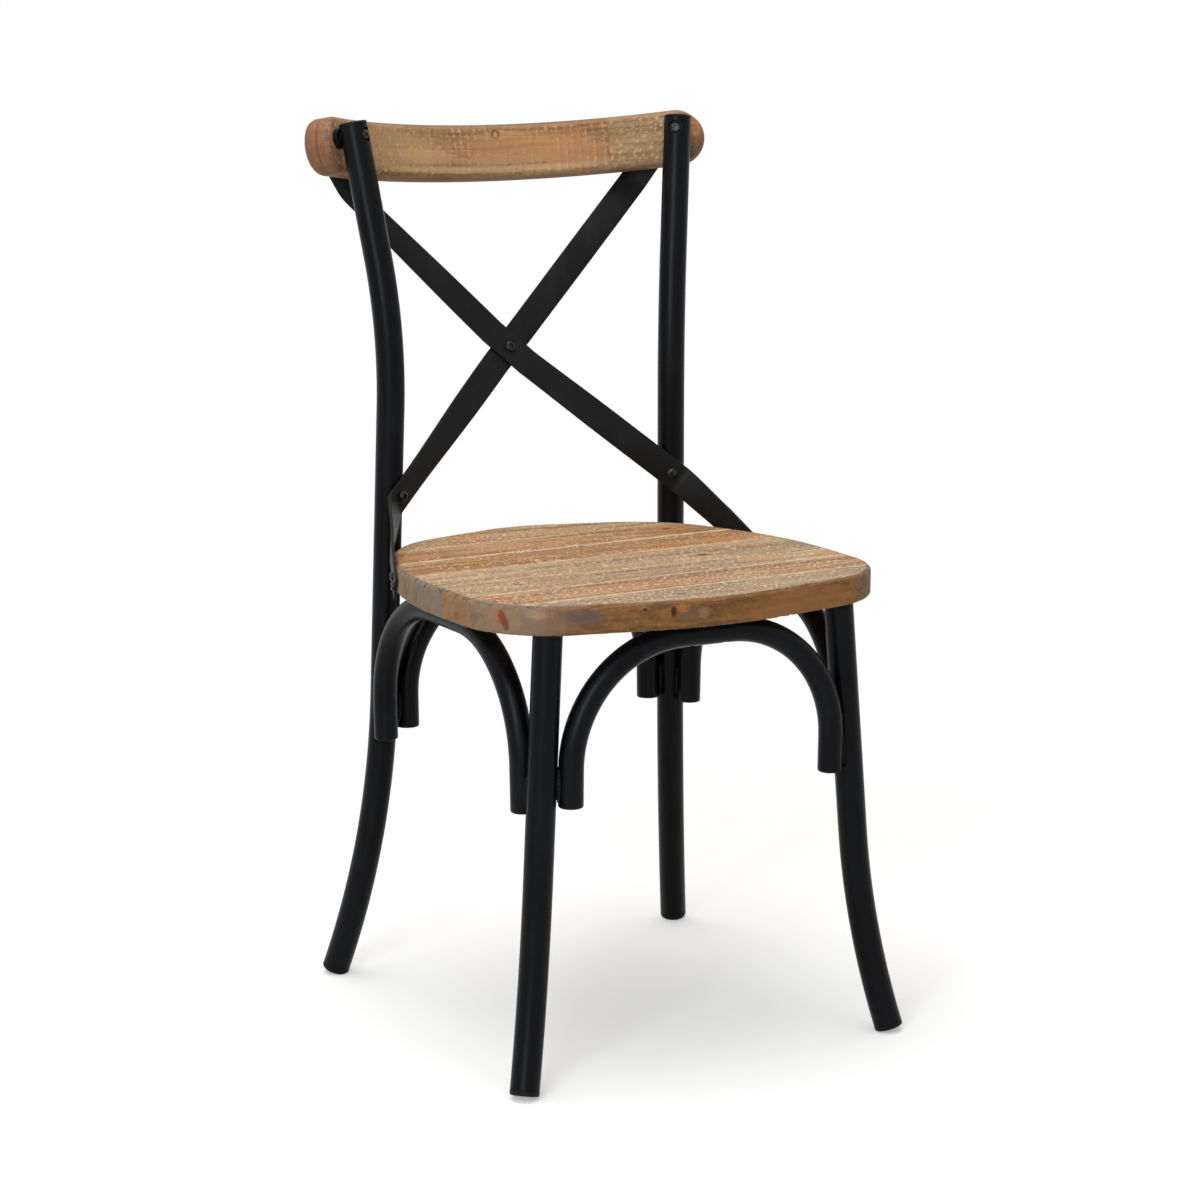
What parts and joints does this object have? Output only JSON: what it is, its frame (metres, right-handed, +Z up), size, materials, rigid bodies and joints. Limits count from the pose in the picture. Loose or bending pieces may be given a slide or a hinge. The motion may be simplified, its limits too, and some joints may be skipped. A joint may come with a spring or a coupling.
{
  "type": "bistro chair",
  "caption": "Dining chair with a bent steel tube frame, arched braces under a plank seat, crossed flat steel straps for a back and a curved wooden top rail.",
  "frame": {"origin": "on the floor, at the middle of the chair's overall width and overall depth, so midway between the seat's sides and midway between the seat's front edge and the back of the top rail", "axes": "+Z up. The chair faces -Y, so +Y points to its back. +X points to the sitter's left, and left and right in the node names are the sitter's own"},
  "size_m": [0.454, 0.523, 0.8819],
  "materials": {
    "powder_coated_steel": "satin black powder coat",
    "black_plastic": "matt black moulded plastic",
    "black_bolt_steel": "blackened steel",
    "seat_wood": "matt oiled reclaimed wood",
    "rail_wood": "matt oiled reclaimed wood"
  },
  "bodies": {
    "root": {"front_leg_left": "powder_coated_steel", "front_leg_right": "powder_coated_steel", "glide_front_left": "black_plastic", "glide_front_right": "black_plastic", "leg_plug_left": "black_plastic", "leg_plug_right": "black_plastic", "rear_post_left": "powder_coated_steel", "rear_post_right": "powder_coated_steel", "glide_rear_left": "black_plastic", "glide_rear_right": "black_plastic", "post_cap_left": "black_plastic", "post_cap_right": "black_plastic", "front_arch": "powder_coated_steel", "front_arch_screw_a": "black_bolt_steel", "front_arch_screw_b": "black_bolt_steel", "rear_arch": "powder_coated_steel", "rear_arch_screw_a": "black_bolt_steel", "rear_arch_screw_b": "black_bolt_steel", "side_arch_left": "powder_coated_steel", "side_arch_left_screw_a": "black_bolt_steel", "side_arch_left_screw_b": "black_bolt_steel", "side_arch_right": "powder_coated_steel", "side_arch_right_screw_a": "black_bolt_steel", "side_arch_right_screw_b": "black_bolt_steel", "rail_bushing_left": "powder_coated_steel", "rail_bushing_right": "powder_coated_steel", "rail_bolt_left": "black_bolt_steel", "rail_bolt_right": "black_bolt_steel", "strap_front": "powder_coated_steel", "strap_rear": "powder_coated_steel", "rail_screw_left_a": "black_bolt_steel", "rail_screw_left_b": "black_bolt_steel", "rail_screw_right_a": "black_bolt_steel", "rail_screw_right_b": "black_bolt_steel", "seat_screw_left_a": "black_bolt_steel", "seat_screw_left_b": "black_bolt_steel", "seat_screw_right_a": "black_bolt_steel", "seat_screw_right_b": "black_bolt_steel", "strap_bolt_left": "black_bolt_steel", "strap_bolt_right": "black_bolt_steel", "cross_bolt": "black_bolt_steel", "cross_nut": "black_bolt_steel", "top_rail_left": "rail_wood", "top_rail_right": "rail_wood", "seat_board_1": "seat_wood", "seat_board_2": "seat_wood", "seat_board_3": "seat_wood", "seat_board_4": "seat_wood", "seat_board_5": "seat_wood", "seat_board_6": "seat_wood", "seat_board_7": "seat_wood"}
  },
  "joints": []
}
